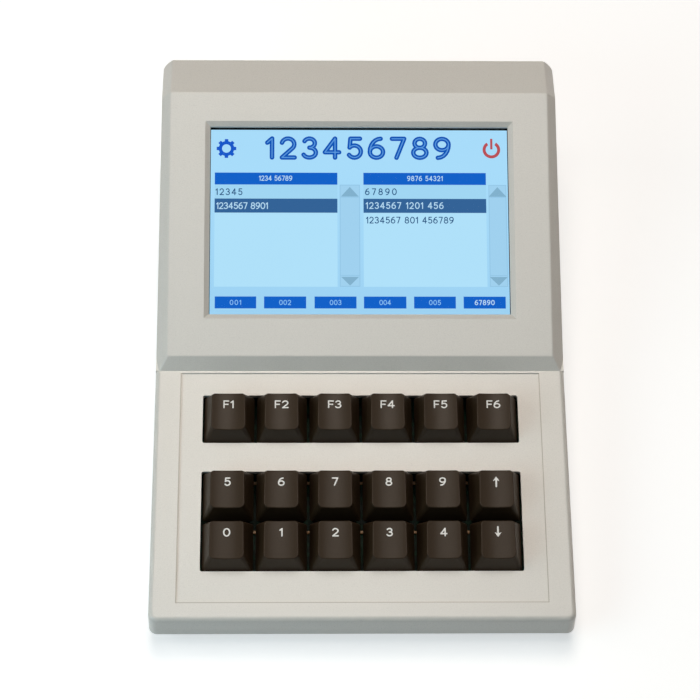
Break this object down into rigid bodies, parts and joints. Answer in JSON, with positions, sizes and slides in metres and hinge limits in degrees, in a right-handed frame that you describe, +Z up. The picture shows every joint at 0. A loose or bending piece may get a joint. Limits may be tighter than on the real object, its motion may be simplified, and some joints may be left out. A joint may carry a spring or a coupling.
{
  "type": "differential cell counter",
  "caption": "Sloped desk-top laboratory counter: flat-panel touch display in a raised hood and rows of travelling push keys set into the deck.",
  "frame": {"origin": "under the centre of the case, on the surface the rubber feet stand on", "axes": "+X to the user's right, +Y from the user to the back of the case, +Z up"},
  "size_m": [0.1504, 0.2138, 0.0664],
  "materials": {
    "case_plastic": "fine texture, moulded",
    "key_plastic": "fine texture with white legends",
    "stem_plastic": "smooth",
    "housing_plastic": "smooth",
    "spring_steel": "bright",
    "contact_metal": "bright",
    "board_green": "solder mask",
    "diode_glass": "glass body",
    "chip_black": "moulded packages",
    "battery_steel": "bright",
    "socket_metal": "tinned shell",
    "socket_plastic": "smooth",
    "socket_white": "smooth",
    "gasket_foam": "closed foam",
    "touch_glass": "clear",
    "lcd_screen": "lit liquid crystal panel",
    "backlight_white": "light guide",
    "bracket_steel": "zinc plated sheet",
    "ribbon_white": "flat cable",
    "screw_steel": "zinc plated",
    "foot_rubber": "moulded"
  },
  "bodies": {
    "case": {"top_shell": "case_plastic", "base_shell": "case_plastic", "touch_glass": "touch_glass", "usb_socket": "socket_metal", "dc_jack": "socket_plastic", "rubber_feet": "foot_rubber", "switch_lower_housings": "housing_plastic", "switch_upper_housings": "housing_plastic", "switch_springs": "spring_steel", "switch_contacts": "contact_metal", "key_board": "board_green", "key_diodes": "diode_glass", "main_board": "board_green", "board_chips": "chip_black", "clock_battery": "battery_steel", "buzzer": "chip_black", "display_gasket": "gasket_foam", "lcd_panel": "lcd_screen", "backlight": "backlight_white", "display_bracket": "bracket_steel", "ribbon_cables": "ribbon_white", "cable_sockets": "socket_white", "board_screws": "screw_steel", "case_screws": "screw_steel"},
    "key_0": {"keycap_0": "key_plastic", "switch_stem_0": "stem_plastic"},
    "key_1": {"keycap_1": "key_plastic", "switch_stem_1": "stem_plastic"},
    "key_2": {"keycap_2": "key_plastic", "switch_stem_2": "stem_plastic"},
    "key_3": {"keycap_3": "key_plastic", "switch_stem_3": "stem_plastic"},
    "key_4": {"keycap_4": "key_plastic", "switch_stem_4": "stem_plastic"},
    "key_down": {"keycap_down": "key_plastic", "switch_stem_down": "stem_plastic"},
    "key_5": {"keycap_5": "key_plastic", "switch_stem_5": "stem_plastic"},
    "key_6": {"keycap_6": "key_plastic", "switch_stem_6": "stem_plastic"},
    "key_7": {"keycap_7": "key_plastic", "switch_stem_7": "stem_plastic"},
    "key_8": {"keycap_8": "key_plastic", "switch_stem_8": "stem_plastic"},
    "key_9": {"keycap_9": "key_plastic", "switch_stem_9": "stem_plastic"},
    "key_up": {"keycap_up": "key_plastic", "switch_stem_up": "stem_plastic"},
    "key_f1": {"keycap_f1": "key_plastic", "switch_stem_f1": "stem_plastic"},
    "key_f2": {"keycap_f2": "key_plastic", "switch_stem_f2": "stem_plastic"},
    "key_f3": {"keycap_f3": "key_plastic", "switch_stem_f3": "stem_plastic"},
    "key_f4": {"keycap_f4": "key_plastic", "switch_stem_f4": "stem_plastic"},
    "key_f5": {"keycap_f5": "key_plastic", "switch_stem_f5": "stem_plastic"},
    "key_f6": {"keycap_f6": "key_plastic", "switch_stem_f6": "stem_plastic"}
  },
  "joints": [
    {"name": "press_0", "type": "slide", "parent": "case", "child": "key_0", "axis": [0, 0.1045, -0.9945], "range_m": [0, 0.004], "stiffness_N_per_m": 120, "springref_m": -0.003, "deforming": ["switch_springs"]},
    {"name": "press_1", "type": "slide", "parent": "case", "child": "key_1", "axis": [0, 0.1045, -0.9945], "range_m": [0, 0.004], "stiffness_N_per_m": 120, "springref_m": -0.003, "deforming": ["switch_springs"]},
    {"name": "press_2", "type": "slide", "parent": "case", "child": "key_2", "axis": [0, 0.1045, -0.9945], "range_m": [0, 0.004], "stiffness_N_per_m": 120, "springref_m": -0.003, "deforming": ["switch_springs"]},
    {"name": "press_3", "type": "slide", "parent": "case", "child": "key_3", "axis": [0, 0.1045, -0.9945], "range_m": [0, 0.004], "stiffness_N_per_m": 120, "springref_m": -0.003, "deforming": ["switch_springs"]},
    {"name": "press_4", "type": "slide", "parent": "case", "child": "key_4", "axis": [0, 0.1045, -0.9945], "range_m": [0, 0.004], "stiffness_N_per_m": 120, "springref_m": -0.003, "deforming": ["switch_springs"]},
    {"name": "press_down", "type": "slide", "parent": "case", "child": "key_down", "axis": [0, 0.1045, -0.9945], "range_m": [0, 0.004], "stiffness_N_per_m": 120, "springref_m": -0.003, "deforming": ["switch_springs"]},
    {"name": "press_5", "type": "slide", "parent": "case", "child": "key_5", "axis": [0, 0.1045, -0.9945], "range_m": [0, 0.004], "stiffness_N_per_m": 120, "springref_m": -0.003, "deforming": ["switch_springs"]},
    {"name": "press_6", "type": "slide", "parent": "case", "child": "key_6", "axis": [0, 0.1045, -0.9945], "range_m": [0, 0.004], "stiffness_N_per_m": 120, "springref_m": -0.003, "deforming": ["switch_springs"]},
    {"name": "press_7", "type": "slide", "parent": "case", "child": "key_7", "axis": [0, 0.1045, -0.9945], "range_m": [0, 0.004], "stiffness_N_per_m": 120, "springref_m": -0.003, "deforming": ["switch_springs"]},
    {"name": "press_8", "type": "slide", "parent": "case", "child": "key_8", "axis": [0, 0.1045, -0.9945], "range_m": [0, 0.004], "stiffness_N_per_m": 120, "springref_m": -0.003, "deforming": ["switch_springs"]},
    {"name": "press_9", "type": "slide", "parent": "case", "child": "key_9", "axis": [0, 0.1045, -0.9945], "range_m": [0, 0.004], "stiffness_N_per_m": 120, "springref_m": -0.003, "deforming": ["switch_springs"]},
    {"name": "press_up", "type": "slide", "parent": "case", "child": "key_up", "axis": [0, 0.1045, -0.9945], "range_m": [0, 0.004], "stiffness_N_per_m": 120, "springref_m": -0.003, "deforming": ["switch_springs"]},
    {"name": "press_f1", "type": "slide", "parent": "case", "child": "key_f1", "axis": [0, 0.1045, -0.9945], "range_m": [0, 0.004], "stiffness_N_per_m": 120, "springref_m": -0.003, "deforming": ["switch_springs"]},
    {"name": "press_f2", "type": "slide", "parent": "case", "child": "key_f2", "axis": [0, 0.1045, -0.9945], "range_m": [0, 0.004], "stiffness_N_per_m": 120, "springref_m": -0.003, "deforming": ["switch_springs"]},
    {"name": "press_f3", "type": "slide", "parent": "case", "child": "key_f3", "axis": [0, 0.1045, -0.9945], "range_m": [0, 0.004], "stiffness_N_per_m": 120, "springref_m": -0.003, "deforming": ["switch_springs"]},
    {"name": "press_f4", "type": "slide", "parent": "case", "child": "key_f4", "axis": [0, 0.1045, -0.9945], "range_m": [0, 0.004], "stiffness_N_per_m": 120, "springref_m": -0.003, "deforming": ["switch_springs"]},
    {"name": "press_f5", "type": "slide", "parent": "case", "child": "key_f5", "axis": [0, 0.1045, -0.9945], "range_m": [0, 0.004], "stiffness_N_per_m": 120, "springref_m": -0.003, "deforming": ["switch_springs"]},
    {"name": "press_f6", "type": "slide", "parent": "case", "child": "key_f6", "axis": [0, 0.1045, -0.9945], "range_m": [0, 0.004], "stiffness_N_per_m": 120, "springref_m": -0.003, "deforming": ["switch_springs"]}
  ]
}
